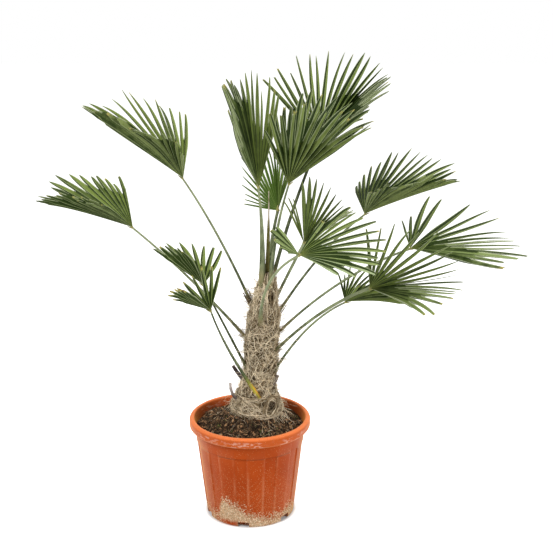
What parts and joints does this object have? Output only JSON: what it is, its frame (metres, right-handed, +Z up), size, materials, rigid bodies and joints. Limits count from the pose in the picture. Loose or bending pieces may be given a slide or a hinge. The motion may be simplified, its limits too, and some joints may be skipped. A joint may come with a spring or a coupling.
{
  "type": "potted windmill palm",
  "caption": "Young fan palm with a fibre-clad trunk and pleated, finger-split fan leaves on long stalks, growing in soil in a round terracotta-coloured nursery pot.",
  "frame": {"origin": "centre of the pot's flat underside", "axes": "+Z up along the pot's axis, -Y the plant's front, +X to the right seen from the front"},
  "size_m": [1.2251, 0.5524, 1.2103],
  "materials": {
    "terracotta_plastic": "moulded terracotta-coloured plastic, scuffed on the rim and crusted with dry sand at the foot",
    "potting_soil": "dark crumbly potting mix with bark chips, fine roots and moss",
    "palm_fibre": "loose matted palm fibre, pale tan to grey-brown",
    "dry_leaf": "dry, weathered leaf base",
    "leaf_stalk": "smooth olive green, slightly waxy",
    "leaf_green": "stiff pleated leaf, dark green above, grey-green below, with yellow-brown finger tips"
  },
  "bodies": {
    "root": {"pot": "terracotta_plastic", "soil": "potting_soil", "trunk": "palm_fibre", "base_fibre_wrap": "palm_fibre", "dry_sheath_strip": "dry_leaf", "cut_stub_left": "dry_leaf", "cut_stub_right": "dry_leaf", "spear_leaf": "dry_leaf", "leaf_stalk_01": "leaf_stalk", "leaf_stalk_02": "leaf_stalk", "leaf_stalk_03": "leaf_stalk", "leaf_stalk_04": "leaf_stalk", "leaf_stalk_05": "leaf_stalk", "leaf_stalk_06": "leaf_stalk", "leaf_stalk_07": "leaf_stalk", "leaf_stalk_08": "leaf_stalk", "leaf_stalk_09": "leaf_stalk", "leaf_stalk_10": "leaf_stalk", "leaf_stalk_11": "leaf_stalk", "leaf_stalk_12": "leaf_stalk", "leaf_stalk_13": "leaf_stalk", "leaf_stalk_14": "leaf_stalk", "leaf_blade_01": "leaf_green", "leaf_blade_02": "leaf_green", "leaf_blade_03": "leaf_green", "leaf_blade_04": "leaf_green", "leaf_blade_05": "leaf_green", "leaf_blade_06": "leaf_green", "leaf_blade_07": "leaf_green", "leaf_blade_08": "leaf_green", "leaf_blade_09": "leaf_green", "leaf_blade_10": "leaf_green", "leaf_blade_11": "leaf_green", "leaf_blade_12": "leaf_green", "leaf_blade_13": "leaf_green", "leaf_blade_14": "leaf_green"}
  },
  "joints": []
}
